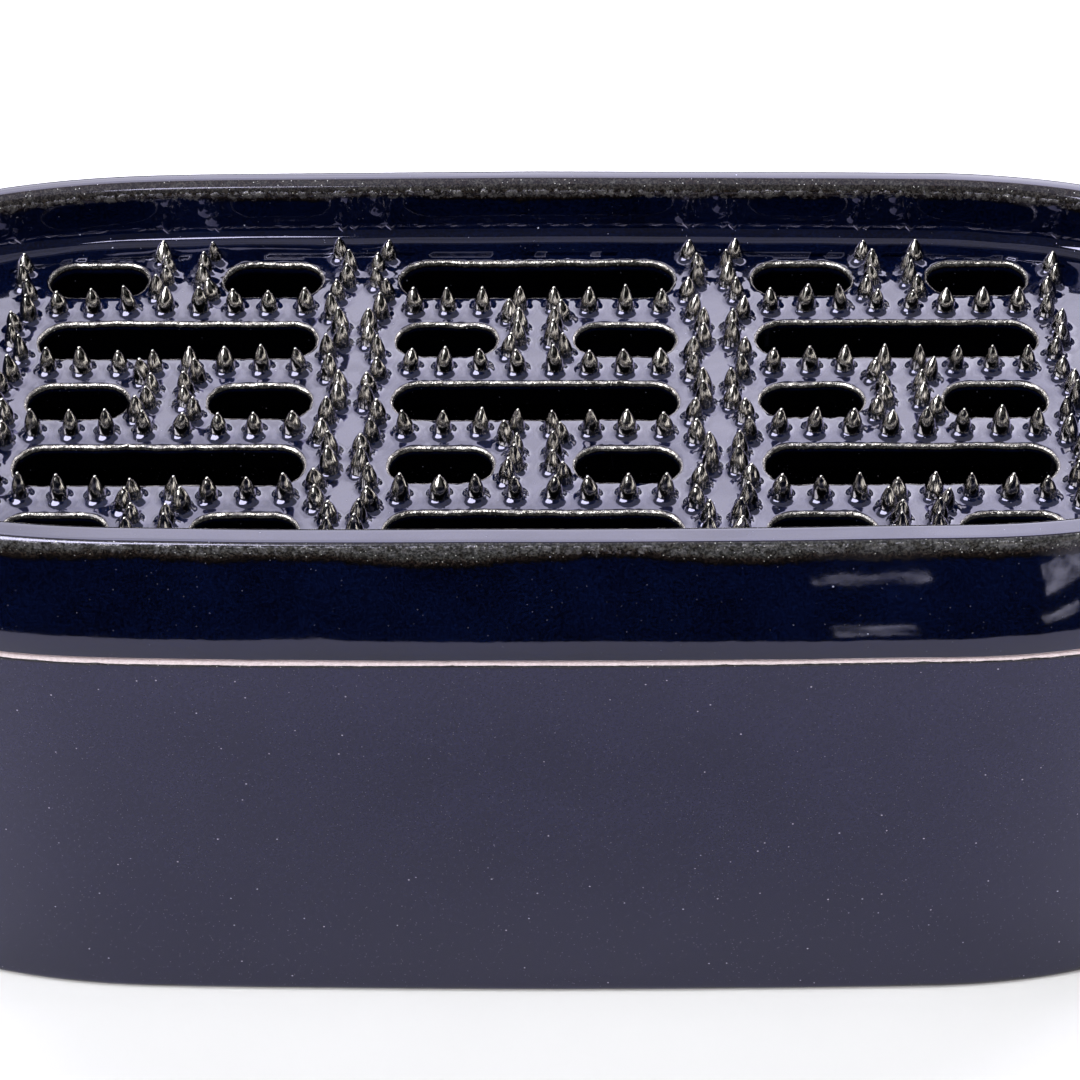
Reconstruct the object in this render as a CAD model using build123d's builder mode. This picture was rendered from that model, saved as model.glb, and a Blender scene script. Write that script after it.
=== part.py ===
from build123d import *

import math
import os

# Flower frog: a glazed stoneware reservoir with a lift-off tray. The tray is a collar round a
# recessed plate that is pierced with stem slots and set with small clay spikes.
# Millimetres, +Z up, X along the length, origin at the centre of the underside.

# ---- Plan outline: each quarter is four tangent arcs, drawn at the reservoir's outer face ----
HALF_DEPTH = 53.4
SIDE_RADIUS = 2900.0
SHOULDER_RADIUS = 130.0
CORNER_RADIUS = 36.0
SIDE_TURN = 1.4
SHOULDER_TURN = 12.6
CORNER_TURN = 66.0
END_TURN = 90.0 - SIDE_TURN - SHOULDER_TURN - CORNER_TURN

# ---- Heights above the table ----
TOTAL_HEIGHT = 107.4
RESERVOIR_TOP = 82.4
SEAM_GAP = 0.3
PLATE_TOP = 94.7

# ---- Reservoir ----
WALL_THICKNESS = 6.0
FLOOR_THICKNESS = 6.0
FOOT_ROUNDING = 1.2
MOUTH_ROUNDING = 0.4

# ---- Tray: insets are measured from the reservoir's outer face ----
COLLAR_INSET_BOTTOM = 0.6
COLLAR_INSET_TOP = 2.4
COLLAR_INSET_INSIDE = 7.0
LIP_ROUNDING = 1.3
COLLAR_EDGE_ROUNDING = 0.5
PLATE_THICKNESS = 5.0
COVE_RADIUS = 2.7
COVE_HEIGHT = 2.8
COVE_LAND = 0.3
FLANGE_THICKNESS = 4.0
FLANGE_DROP = 12.0
FLANGE_ROUNDING = 1.0

# ---- Slots: five rows by three columns, a long slot or a pair of short ones in turn ----
ROWS = 5
COLUMNS = ("left", "middle", "right")
ROW_PITCH = 17.0
COLUMN_PITCH = 63.6
LONG_SLOT_LENGTH = 49.4
LONG_SLOT_WIDTH = 9.9
SHORT_SLOT_LENGTH = 17.8
SHORT_SLOT_WIDTH = 9.0
SHORT_SLOT_OFFSET = 15.8
SLOT_EDGE_CHAMFER = 0.7

# ---- Spikes ----
SPIKE_HEIGHT = 4.6
SPIKE_FOOT_RADIUS = 1.65
SPIKE_NECK_RADIUS = 1.35
SPIKE_NECK_HEIGHT = 0.9
SPIKE_TIP_RADIUS = 0.3
WEB_SPIKES = 8
WEB_SPIKE_PITCH = 6.3
END_SPIKE_ANGLES = (-38.0, -12.5, 12.5, 38.0)
OUTER_ARC_RADIUS = 9.5
INNER_ARC_RADIUS = 8.4
END_ARC_SHIFT = 0.4
COVED_CORNER_X = 88.0
COVED_CORNER_Y = 38.5


def drop_of_arc(radius, start, turn):
    """How far an arc falls towards the X axis while its heading turns from start by turn degrees."""
    return radius * (math.cos(math.radians(start)) - math.cos(math.radians(start + turn)))


def end_radius():
    """Radius of the end arc, which closes the quarter outline on the X axis."""
    height_left = HALF_DEPTH
    height_left -= drop_of_arc(SIDE_RADIUS, 0.0, SIDE_TURN)
    height_left -= drop_of_arc(SHOULDER_RADIUS, SIDE_TURN, SHOULDER_TURN)
    height_left -= drop_of_arc(CORNER_RADIUS, SIDE_TURN + SHOULDER_TURN, CORNER_TURN)
    return height_left / math.sin(math.radians(END_TURN))


def plan_face(inset):
    """Face of the plan outline, drawn in by inset from the reservoir's outer face."""
    with BuildSketch() as outline:
        with BuildLine():
            side = JernArc((0, HALF_DEPTH - inset), (1, 0), SIDE_RADIUS - inset, -SIDE_TURN)
            shoulder = JernArc(side @ 1, side % 1, SHOULDER_RADIUS - inset, -SHOULDER_TURN)
            corner = JernArc(shoulder @ 1, shoulder % 1, CORNER_RADIUS - inset, -CORNER_TURN)
            JernArc(corner @ 1, corner % 1, end_radius() - inset, -END_TURN)
            mirror(about=Plane.YZ)
            mirror(about=Plane.XZ)
        make_face()
    return outline.sketch


def has_long_slot(row, column):
    """Long slots and pairs of short slots alternate like bricks along rows and columns."""
    return (row + column) % 2 == 1


def row_y(row):
    """Centre line of a row of slots, counted from the front."""
    return (row - (ROWS - 1) / 2) * ROW_PITCH


def column_x(column):
    """Centre line of a column of slots, counted from the left."""
    return (column - (len(COLUMNS) - 1) / 2) * COLUMN_PITCH


def slot_centres(row, column):
    """Centres of the one long or two short slots at this place in the layout."""
    if has_long_slot(row, column):
        return [(column_x(column), row_y(row))]
    return [(column_x(column) + side * SHORT_SLOT_OFFSET, row_y(row)) for side in (-1, 1)]


def on_flat_plate(place):
    """False in the four corners, where the cove leaves no flat for the foot of a spike."""
    return abs(place[0]) < COVED_CORNER_X or abs(place[1]) < COVED_CORNER_Y


def arc_of_spikes(centre_x, centre_y, radius, side):
    """Places of the spikes on an arc round one end of a slot; side is -1 for its left end."""
    places = []
    for angle in END_SPIKE_ANGLES:
        along = side * radius * math.cos(math.radians(angle))
        across = END_ARC_SHIFT + radius * math.sin(math.radians(angle))
        places.append((centre_x + along, centre_y + across))
    return [place for place in places if on_flat_plate(place)]


def end_spike_places(row, column):
    """Places of all the spikes round the slot ends at this place in the layout."""
    if has_long_slot(row, column):
        length, width = LONG_SLOT_LENGTH, LONG_SLOT_WIDTH
    else:
        length, width = SHORT_SLOT_LENGTH, SHORT_SLOT_WIDTH
    places = []
    for slot_x, slot_y in slot_centres(row, column):
        for side in (-1, 1):
            faces_partner = side * (slot_x - column_x(column)) < 0
            radius = INNER_ARC_RADIUS if faces_partner else OUTER_ARC_RADIUS
            places += arc_of_spikes(slot_x + side * (length - width) / 2, slot_y, radius, side)
    return places


def finish_piece(builder, name):
    """Label a finished piece and write it as its own STEP file."""
    builder.part.label = name
    export_step(builder.part, f"parts/{name}.step")


os.makedirs("parts", exist_ok=True)

# ---- Reservoir floor: a slab inside the foot of the wall ----
with BuildPart() as reservoir_floor:
    with BuildSketch(Plane.XY):
        add(plan_face(WALL_THICKNESS))
    extrude(amount=FLOOR_THICKNESS)
finish_piece(reservoir_floor, "reservoir_floor")

# ---- Reservoir wall: a slab bent round the floor, with a softened foot and mouth ----
with BuildPart() as reservoir_wall:
    with BuildSketch(Plane.XY):
        add(plan_face(0.0))
        add(plan_face(WALL_THICKNESS), mode=Mode.SUBTRACT)
    extrude(amount=RESERVOIR_TOP)
    foot = reservoir_wall.faces().sort_by(Axis.Z)[0]
    fillet(foot.outer_wire().edges(), FOOT_ROUNDING)
    mouth = reservoir_wall.faces().sort_by(Axis.Z)[-1]
    fillet(mouth.edges(), MOUTH_ROUNDING)
finish_piece(reservoir_wall, "reservoir_wall")

# ---- Tray collar: a band that leans in a little towards its rounded lip ----
collar_bottom = RESERVOIR_TOP + SEAM_GAP
with BuildPart() as tray_collar:
    with BuildSketch(Plane.XY.offset(collar_bottom)):
        add(plan_face(COLLAR_INSET_BOTTOM))
    with BuildSketch(Plane.XY.offset(TOTAL_HEIGHT)):
        add(plan_face(COLLAR_INSET_TOP))
    loft(ruled=True)
    with BuildSketch(Plane.XY.offset(collar_bottom)):
        add(plan_face(COLLAR_INSET_INSIDE))
    extrude(amount=TOTAL_HEIGHT - collar_bottom, mode=Mode.SUBTRACT)
    lip = tray_collar.faces().sort_by(Axis.Z)[-1]
    fillet(lip.edges(), LIP_ROUNDING)
    seat = tray_collar.faces().sort_by(Axis.Z)[0]
    fillet(seat.outer_wire().edges(), COLLAR_EDGE_ROUNDING)
finish_piece(tray_collar, "tray_collar")

# ---- Pierced plate: a slab with a coved edge, cut through by the stem slots ----
plate_underside = PLATE_TOP - PLATE_THICKNESS
with BuildPart() as pierced_plate:
    with BuildSketch(Plane.XY.offset(plate_underside)):
        add(plan_face(COLLAR_INSET_INSIDE))
    extrude(amount=PLATE_THICKNESS + COVE_HEIGHT)
    with BuildSketch(Plane.XY.offset(PLATE_TOP)):
        add(plan_face(COLLAR_INSET_INSIDE + COVE_LAND))
    extrude(amount=COVE_HEIGHT, mode=Mode.SUBTRACT)
    pocket = pierced_plate.faces().filter_by(Plane.XY).group_by(Axis.Z)[1].sort_by(SortBy.AREA)[-1]
    fillet(pocket.outer_wire().edges(), COVE_RADIUS)
    with BuildSketch(Plane.XY.offset(PLATE_TOP)):
        for row in range(ROWS):
            for column in range(len(COLUMNS)):
                with Locations(*slot_centres(row, column)):
                    if has_long_slot(row, column):
                        SlotOverall(LONG_SLOT_LENGTH, LONG_SLOT_WIDTH)
                    else:
                        SlotOverall(SHORT_SLOT_LENGTH, SHORT_SLOT_WIDTH)
    extrude(amount=-PLATE_THICKNESS, mode=Mode.SUBTRACT)
    deck = pierced_plate.faces().filter_by(Plane.XY).group_by(Axis.Z)[1].sort_by(SortBy.AREA)[-1]
    slot_edges = [edge for slot in deck.inner_wires() for edge in slot.edges()]
    chamfer(slot_edges, SLOT_EDGE_CHAMFER)
finish_piece(pierced_plate, "pierced_plate")

# ---- Locating flange: a band under the plate that drops inside the reservoir's mouth ----
flange_bottom = collar_bottom - FLANGE_DROP
with BuildPart() as locating_flange:
    with BuildSketch(Plane.XY.offset(flange_bottom)):
        add(plan_face(COLLAR_INSET_INSIDE))
        add(plan_face(COLLAR_INSET_INSIDE + FLANGE_THICKNESS), mode=Mode.SUBTRACT)
    extrude(amount=plate_underside - flange_bottom)
    nose = locating_flange.faces().sort_by(Axis.Z)[0]
    fillet(nose.outer_wire().edges(), FLANGE_ROUNDING)
finish_piece(locating_flange, "locating_flange")

# ---- One spike: a steep cone with a flared foot and a blunt tip, standing at the origin ----
with BuildPart() as spike:
    with BuildSketch(Plane.XZ):
        with BuildLine():
            foot_line = Line((0, 0), (SPIKE_FOOT_RADIUS, 0))
            flare = RadiusArc(foot_line @ 1, (SPIKE_NECK_RADIUS, SPIKE_NECK_HEIGHT), -2 * SPIKE_NECK_HEIGHT)
            flank = Line(flare @ 1, (SPIKE_TIP_RADIUS, SPIKE_HEIGHT - SPIKE_TIP_RADIUS))
            tip = RadiusArc(flank @ 1, (0, SPIKE_HEIGHT), -SPIKE_TIP_RADIUS)
            Line(tip @ 1, foot_line @ 0)
        make_face()
    revolve(axis=Axis.Z)

# ---- Web spikes: a line along each strip of plate between two slots of one column ----
for column, column_name in enumerate(COLUMNS):
    for web in range(ROWS - 1):
        web_y = (row_y(web) + row_y(web + 1)) / 2
        with BuildPart() as web_spikes:
            with Locations((column_x(column), web_y, PLATE_TOP)):
                with GridLocations(WEB_SPIKE_PITCH, 1, WEB_SPIKES, 1):
                    add(spike.part)
        finish_piece(web_spikes, f"web_spikes_{column_name}_{web + 1}")

# ---- End spikes: an arc round each slot end, grouped by row and column ----
for column, column_name in enumerate(COLUMNS):
    for row in range(ROWS):
        with BuildPart() as end_spikes:
            with Locations(*[(x, y, PLATE_TOP) for x, y in end_spike_places(row, column)]):
                add(spike.part)
        finish_piece(end_spikes, f"end_spikes_{column_name}_{row + 1}")
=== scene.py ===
"""Looks of the flower frog: a navy glazed reservoir with a lift-off tray of slots and clay spikes."""

import math
import random

import bmesh
import bpy
import numpy as np
from mathutils import Matrix, Vector, noise
from mathutils.geometry import convex_hull_2d, delaunay_2d_cdt
from mathutils.kdtree import KDTree


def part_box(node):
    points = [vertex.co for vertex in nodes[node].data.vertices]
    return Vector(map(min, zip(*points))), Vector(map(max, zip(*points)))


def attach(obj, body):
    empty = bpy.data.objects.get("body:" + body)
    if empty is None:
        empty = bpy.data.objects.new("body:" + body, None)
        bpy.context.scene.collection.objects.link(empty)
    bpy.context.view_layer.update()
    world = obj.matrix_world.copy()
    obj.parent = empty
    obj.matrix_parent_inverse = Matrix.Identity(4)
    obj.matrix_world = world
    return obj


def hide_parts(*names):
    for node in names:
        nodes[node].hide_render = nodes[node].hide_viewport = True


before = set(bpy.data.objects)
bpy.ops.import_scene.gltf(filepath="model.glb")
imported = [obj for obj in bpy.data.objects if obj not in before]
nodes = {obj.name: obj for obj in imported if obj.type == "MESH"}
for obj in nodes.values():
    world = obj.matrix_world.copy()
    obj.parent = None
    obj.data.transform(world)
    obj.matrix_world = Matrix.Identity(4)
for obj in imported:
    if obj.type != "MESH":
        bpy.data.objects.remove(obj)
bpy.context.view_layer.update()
MM = 0.001

# ---- Levels and insets in metres, read from the CAD nodes ----
RIM_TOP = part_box("tray_collar")[1].z
COLLAR_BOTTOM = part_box("tray_collar")[0].z
LEDGE_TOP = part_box("reservoir_wall")[1].z
PLATE_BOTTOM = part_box("pierced_plate")[0].z
PLATE_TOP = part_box("web_spikes_middle_1")[0].z
SPIKE_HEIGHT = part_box("web_spikes_middle_1")[1].z - PLATE_TOP
OUTLINE_HALF_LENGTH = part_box("reservoir_wall")[1].x
FLOOR_INSET = OUTLINE_HALF_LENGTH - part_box("reservoir_floor")[1].x
PLATE_INSET = OUTLINE_HALF_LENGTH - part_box("pierced_plate")[1].x
COLLAR_INSET = OUTLINE_HALF_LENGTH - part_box("tray_collar")[1].x

# ---- How finely the outline is followed, and the gap kept inside the CAD's faces ----
OUTLINE_POINTS = 640
OUTLINE_SMOOTHING = 4.0 * MM
CLEARANCE = 0.05 * MM
SEED = 11


# ---------------------------------------------------------------- shape helpers
def handmade(x, y, z, wavelength, depth):
    """A smooth random shift at a place on the object, the same for every piece that passes there."""
    return depth * noise.noise(Vector((x, y, z)) / wavelength)


def even_ring(corners, count, smoothing):
    """A closed ring of evenly spaced points along a polygon, softened over a distance."""
    closed = np.vstack([corners, corners[:1]])
    steps = np.hypot(*np.diff(closed, axis=0).T)
    along = np.concatenate([[0.0], np.cumsum(steps)])
    places = np.arange(count) * along[-1] / count
    ring = np.column_stack([np.interp(places, along, closed[:, axis]) for axis in (0, 1)])
    waves = np.fft.rfftfreq(count, along[-1] / count)
    keep = np.exp(-0.5 * (2 * math.pi * waves * smoothing) ** 2)
    return np.fft.irfft(np.fft.rfft(ring, axis=0) * keep[:, None], count, axis=0)


def outward(ring):
    """Unit normals of a closed ring that runs counterclockwise."""
    along = np.roll(ring, -1, axis=0) - np.roll(ring, 1, axis=0)
    along /= np.hypot(along[:, 0], along[:, 1])[:, None]
    return np.column_stack([along[:, 1], -along[:, 0]])


def object_outline():
    """Plan outline of the reservoir's outer face, read from its CAD node."""
    flat = [vertex.co.xy for vertex in nodes["reservoir_wall"].data.vertices]
    hull = np.array([flat[index] for index in convex_hull_2d(flat)])
    turn = np.arctan2(hull[:, 1], hull[:, 0])
    hull = hull[np.argsort(turn)]
    return even_ring(hull, OUTLINE_POINTS, OUTLINE_SMOOTHING)


outline = object_outline()
outline_out = outward(outline)


def arc(centre_inset, centre_z, radius, start, end, steps):
    """Profile points on an arc; angles in degrees, 0 is outward and 90 is up."""
    points = []
    for step in range(steps + 1):
        angle = math.radians(start + (end - start) * step / steps)
        points.append((centre_inset - radius * math.cos(angle), centre_z + radius * math.sin(angle)))
    return points


def upright(inset, low, high, step):
    """Profile points on a straight vertical run, from low to high or from high to low."""
    count = max(1, round(abs(high - low) / step))
    return [(inset, low + (high - low) * index / count) for index in range(count + 1)]


def make_object(name, points, faces, material, attributes=None, crease=50.0):
    """A smooth shaded mesh object with named values on its points."""
    mesh = bpy.data.meshes.new(name)
    mesh.from_pydata(points, [], faces)
    for key, values in (attributes or {}).items():
        layer = mesh.attributes.new(key, "FLOAT", "POINT")
        layer.data.foreach_set("value", np.asarray(values, np.float32))
    mesh.materials.append(material)
    mesh.shade_smooth()
    mesh.set_sharp_from_angle(angle=math.radians(crease))
    made = bpy.data.objects.new(name, mesh)
    bpy.context.scene.collection.objects.link(made)
    return made


def band(name, profile, material, shift, sag, values):
    """A closed band swept round the outline; profile is a closed list of (inset, z). Shift moves
    each point inwards, sag lowers it, and values gives the named values stored on it."""
    points, faces = [], []
    attributes = {key: [] for key in values}
    count = len(outline)
    for inset, z in profile:
        ring = outline - outline_out * inset
        for (x, y), (out_x, out_y) in zip(ring, outline_out):
            moved = shift(x, y, z, inset)
            points.append((x - out_x * moved, y - out_y * moved, z - sag(x, y, z, inset)))
            for key, value in values.items():
                attributes[key].append(value(x, y, z, inset))
    for row in range(len(profile)):
        low, high = row * count, (row + 1) % len(profile) * count
        for index in range(count):
            after = (index + 1) % count
            faces.append((low + index, low + after, high + after, high + index))
    return make_object(name, points, faces, material, attributes)


def rise(value, start, end):
    """Smooth step from 0 at start to 1 at end."""
    share = min(1.0, max(0.0, (value - start) / (end - start)))
    return share * share * (3 - 2 * share)


# ---------------------------------------------------------------- materials
def put(tree, kind, sockets=None, **settings):
    """Adds a node, with its settings, and sets or links its sockets."""
    node = tree.nodes.new(kind)
    for key, value in settings.items():
        setattr(node, key, value)
    for key, value in (sockets or {}).items():
        if isinstance(value, bpy.types.NodeSocket):
            tree.links.new(value, node.inputs[key])
        else:
            node.inputs[key].default_value = value
    return node


def clouds(tree, place, size, detail=4.0, roughness=0.55):
    """Noise with features of the given size in metres."""
    sockets = {"Vector": place, "Scale": 1 / size, "Detail": detail, "Roughness": roughness}
    return put(tree, "ShaderNodeTexNoise", sockets).outputs["Fac"]


def spread(tree, value, low, high, to_low=0.0, to_high=1.0):
    """Stretches low..high of a value to a new range, and holds it there."""
    sockets = {"Value": value, "From Min": low, "From Max": high, "To Min": to_low, "To Max": to_high}
    return put(tree, "ShaderNodeMapRange", sockets).outputs["Result"]


def mathematics(tree, operation, first, second):
    """One sum, product or comparison of two values."""
    return put(tree, "ShaderNodeMath", {0: first, 1: second}, operation=operation).outputs[0]


def mixed(tree, factor, first, second):
    """A colour between two others."""
    node = put(tree, "ShaderNodeMix", data_type="RGBA")
    for index, value in ((0, factor), (6, first), (7, second)):
        if isinstance(value, bpy.types.NodeSocket):
            tree.links.new(value, node.inputs[index])
        elif index:
            node.inputs[index].default_value = (*value, 1.0)
        else:
            node.inputs[index].default_value = value
    return node.outputs[2]


def ramp(tree, factor, stops):
    """Colours along a value, from a list of (place, colour)."""
    node = put(tree, "ShaderNodeValToRGB", {"Fac": factor})
    elements = node.color_ramp.elements
    while len(elements) < len(stops):
        elements.new(0.5)
    for element, (place, colour) in zip(elements, stops):
        element.position = place
        element.color = (*colour, 1.0)
    return node.outputs["Color"]


def dots(tree, place, spacing, radius, share):
    """1 inside small round dots: one to each cell of the given spacing, for a share of the cells."""
    cells = put(tree, "ShaderNodeTexVoronoi", {"Vector": place, "Scale": 1 / spacing})
    near = spread(tree, cells.outputs["Distance"], radius / spacing, 0.6 * radius / spacing)
    chance = put(tree, "ShaderNodeSeparateColor", {"Color": cells.outputs["Color"]}).outputs[0]
    chosen = mathematics(tree, "LESS_THAN", chance, share)
    return mathematics(tree, "MULTIPLY", near, chosen)


def new_material(name, **uniform):
    """A material with a Principled shader; uniform values go straight on its sockets."""
    material = bpy.data.materials.new(name)
    material.use_nodes = True
    tree = material.node_tree
    tree.nodes.clear()
    shader = put(tree, "ShaderNodeBsdfPrincipled")
    for key, value in uniform.items():
        shader.inputs[key.replace("_", " ")].default_value = value
    put(tree, "ShaderNodeOutputMaterial", {"Surface": shader.outputs["BSDF"]})
    place = put(tree, "ShaderNodeTexCoord").outputs["Object"]
    return material, tree, shader, place


def named_value(tree, name):
    """A value stored on the points of the mesh."""
    return put(tree, "ShaderNodeAttribute", attribute_name=name).outputs["Fac"]


def raised(tree, height, depth, under=None):
    """Bump of the given depth in metres, on top of another."""
    sockets = {"Height": height, "Distance": depth, "Strength": 1.0}
    if under is not None:
        sockets["Normal"] = under
    return put(tree, "ShaderNodeBump", sockets).outputs["Normal"]


CLAY_PALE = (0.74, 0.65, 0.66)
CLAY_DARK = (0.56, 0.47, 0.47)
IRON_SPECK = (0.10, 0.06, 0.05)
LUSTRE_PALE = (0.285, 0.275, 0.260)
LUSTRE_DARK = (0.12, 0.108, 0.100)


def clay_colour(tree, place):
    """Bare fired stoneware: buff pink with iron specks."""
    grain = spread(tree, clouds(tree, place, 0.6 * MM, 6.0, 0.7), 0.35, 0.65)
    base = mixed(tree, grain, CLAY_DARK, CLAY_PALE)
    return mixed(tree, dots(tree, place, 1.5 * MM, 0.14 * MM, 0.35), base, IRON_SPECK)


GLAZE_IOR = 1.52
GLAZE_TINT = (0.74, 0.72, 1.0, 1.0)
# Painted shade: the near black colour given where 'thin' is below 0, on the faces inside the slots and
# the reservoir
INSIDE_PAINTED_SHADE = (0.0003, 0.0003, 0.0006)
CRUMB = (0.42, 0.42, 0.39)
GRAIN_BRIGHTNESS = 3.4
# Painted shade: how far the glaze colour is darkened towards its deep colour at the floor, and the height
# where this painted shade ends
FOOT_PAINTED_SHADE = 0.65
FOOT_SHADE_TOP = 0.6 * LEDGE_TOP
# (thinness, colour) of glaze that breaks over an edge, in its dark grains and in its pale ones
BREAK_DARK = (
    (0.40, (0.0010, 0.0009, 0.0012)),
    (0.70, (0.0045, 0.0034, 0.0030)),
    (0.90, (0.0130, 0.0122, 0.0112)),
    (1.00, (0.0180, 0.0185, 0.0180)),
)
BREAK_PALE = (
    (0.40, (0.0030, 0.0022, 0.0022)),
    (0.70, (0.0240, 0.0165, 0.0125)),
    (0.90, (0.0600, 0.0560, 0.0500)),
    (1.00, (0.0860, 0.0860, 0.0820)),
)


def glaze_material(name, deep, bloom, roughness, sheen, speck, speck_share, waviness, beading, streaking):
    """Glossy glaze over stoneware, steered by values stored on the mesh: 'thin' is near 1 where the
    glaze breaks to brown and olive, and below 0 on the faces inside the slots and the reservoir,
    where the colour is painted near black as shade; 'lustre' is where the break has a metallic
    bronze skin, and 'bare' is where the clay is left bare. Low down the colour is painted darker as
    shade. Deep and bloom are the glaze's darkest and palest colours, sheen is its specular level, and
    waviness and beading are the depths in metres of its ripples and of the beads on the metallic skin."""
    looks = {"IOR": GLAZE_IOR, "Specular_Tint": GLAZE_TINT, "Specular_IOR_Level": sheen}
    material, tree, shader, place = new_material(name, **looks)
    thin, lustre = named_value(tree, "thin"), named_value(tree, "lustre")
    fine = clouds(tree, place, 0.5 * MM, 6.0, 0.8)
    broad = spread(tree, clouds(tree, place, 14 * MM, 3.0), 0.3, 0.7, -0.05, 0.05)
    mottle = spread(tree, mathematics(tree, "ADD", fine, broad), 0.40, 0.68)
    colour = mixed(tree, mottle, deep, bloom)
    height = put(tree, "ShaderNodeSeparateXYZ", {"Vector": place}).outputs["Z"]
    # Painted shade: the colour is darker towards the foot
    colour = mixed(tree, spread(tree, height, 0.0, FOOT_SHADE_TOP, FOOT_PAINTED_SHADE, 0.0), colour, deep)
    # Painted shade: near black where 'thin' is below 0, inside the slots and the reservoir
    colour = mixed(tree, spread(tree, thin, -1.0, -0.1), INSIDE_PAINTED_SHADE, colour)
    ragged = spread(tree, clouds(tree, place, 1.3 * MM, 6.0, 0.7), 0.25, 0.75, -0.22, 0.22)
    broken = mathematics(tree, "ADD", thin, ragged)
    grain = spread(tree, clouds(tree, place, 0.45 * MM, 4.0, 0.7), 0.46, 0.62)
    break_colour = mixed(tree, grain, ramp(tree, broken, BREAK_DARK), ramp(tree, broken, BREAK_PALE))
    edge = spread(tree, broken, 0.22, 0.42)
    colour = mixed(tree, edge, colour, break_colour)
    specks = dots(tree, place, 0.8 * MM, 0.10 * MM, speck_share)
    grains = dots(tree, place, 3.0 * MM, 0.19 * MM, 0.8 * speck_share)
    thinnest = mathematics(tree, "MULTIPLY", edge, spread(tree, broken, 0.5, 0.8))
    crumbs = mathematics(tree, "MULTIPLY", dots(tree, place, 0.8 * MM, 0.13 * MM, 0.55), thinnest)
    colour = mixed(tree, specks, colour, speck)
    colour = mixed(tree, grains, colour, [GRAIN_BRIGHTNESS * part for part in speck])
    colour = mixed(tree, crumbs, colour, CRUMB)
    streaks = spread(tree, clouds(tree, place, 0.9 * MM, 4.0, 0.6), 0.35, 0.65, 1 - streaking, 1.0)
    metal = spread(tree, mathematics(tree, "ADD", lustre, ragged), 0.35, 0.6)
    colour = mixed(tree, metal, colour, mixed(tree, streaks, LUSTRE_DARK, LUSTRE_PALE))
    bare = spread(tree, mathematics(tree, "ADD", named_value(tree, "bare"), ragged), 0.45, 0.55)
    colour = mixed(tree, bare, colour, clay_colour(tree, place))
    tree.links.new(colour, shader.inputs["Base Color"])
    clean = spread(tree, bare, 0.0, 1.0, 1.0, 0.0)
    tree.links.new(mathematics(tree, "MULTIPLY", metal, clean), shader.inputs["Metallic"])
    gloss = spread(tree, clouds(tree, place, 2.5 * MM, 4.0), 0.3, 0.7, roughness * 0.8, roughness * 1.25)
    for mask, least in ((edge, 0.12), (specks, 0.3), (grains, 0.35), (crumbs, 0.3), (bare, 0.85)):
        gloss = mathematics(tree, "MAXIMUM", gloss, spread(tree, mask, 0.0, 1.0, 0.0, least))
    tree.links.new(gloss, shader.inputs["Roughness"])
    normal = raised(tree, clouds(tree, place, 5.0 * MM, 2.0, 0.4), waviness)
    normal = raised(tree, clouds(tree, place, 0.9 * MM, 2.0, 0.5), 0.12 * waviness, normal)
    beads = mathematics(tree, "MULTIPLY", metal, clouds(tree, place, 0.8 * MM, 3.0, 0.6))
    normal = raised(tree, beads, beading, normal)
    grit = mathematics(tree, "MULTIPLY", bare, clouds(tree, place, 0.3 * MM, 4.0, 0.7))
    normal = raised(tree, grit, 0.10 * MM, normal)
    tree.links.new(raised(tree, specks, -0.015 * MM, normal), shader.inputs["Normal"])
    return material


reservoir_glaze = glaze_material(
    "reservoir_glaze",
    deep=(0.0045, 0.0045, 0.0200),
    bloom=(0.0120, 0.0120, 0.0410),
    roughness=0.10,
    sheen=0.43,
    speck=(0.105, 0.096, 0.118),
    speck_share=0.95,
    waviness=0.010 * MM,
    beading=0.02 * MM,
    streaking=1.0,
)
tray_glaze = glaze_material(
    "tray_glaze",
    deep=(0.0003, 0.0005, 0.0030),
    bloom=(0.0019, 0.0048, 0.0260),
    roughness=0.04,
    sheen=0.50,
    speck=(0.110, 0.115, 0.150),
    speck_share=0.12,
    waviness=0.014 * MM,
    beading=0.18 * MM,
    streaking=1.0,
)
spike_glaze = glaze_material(
    "spike_glaze",
    deep=(0.0010, 0.0020, 0.0100),
    bloom=(0.0016, 0.0050, 0.0340),
    roughness=0.06,
    sheen=0.50,
    speck=(0.100, 0.090, 0.080),
    speck_share=0.05,
    waviness=0.003 * MM,
    beading=0.004 * MM,
    streaking=0.20,
)
# Painted shade: a near black glaze for the locating flange and the reservoir floor, which lie inside the
# reservoir in shade
inner_painted_shade_glaze = glaze_material(
    "inner_painted_shade_glaze",
    deep=(0.0006, 0.0006, 0.0016),
    bloom=(0.0012, 0.0014, 0.0040),
    roughness=0.12,
    sheen=0.30,
    speck=(0.020, 0.020, 0.020),
    speck_share=0.20,
    waviness=0.012 * MM,
    beading=0.01 * MM,
    streaking=1.0,
)


# ---------------------------------------------------------------- reservoir wall
FOOT_RADIUS = 1.3 * MM
FOOT_ZONE = 4 * MM
FOOT_STEP = 0.7 * MM
LEDGE_RADIUS = 0.35 * MM
LEDGE_ZONE = 2.2 * MM
LEDGE_STEP = 0.4 * MM
MOUTH_RADIUS = 0.7 * MM
WALL_STEP = 3.0 * MM
INNER_STEP = 5 * MM
HAND_WAVE = 55 * MM
HAND_DEPTH = 0.3 * MM
HAND_RELIEF = 0.16 * MM


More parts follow.
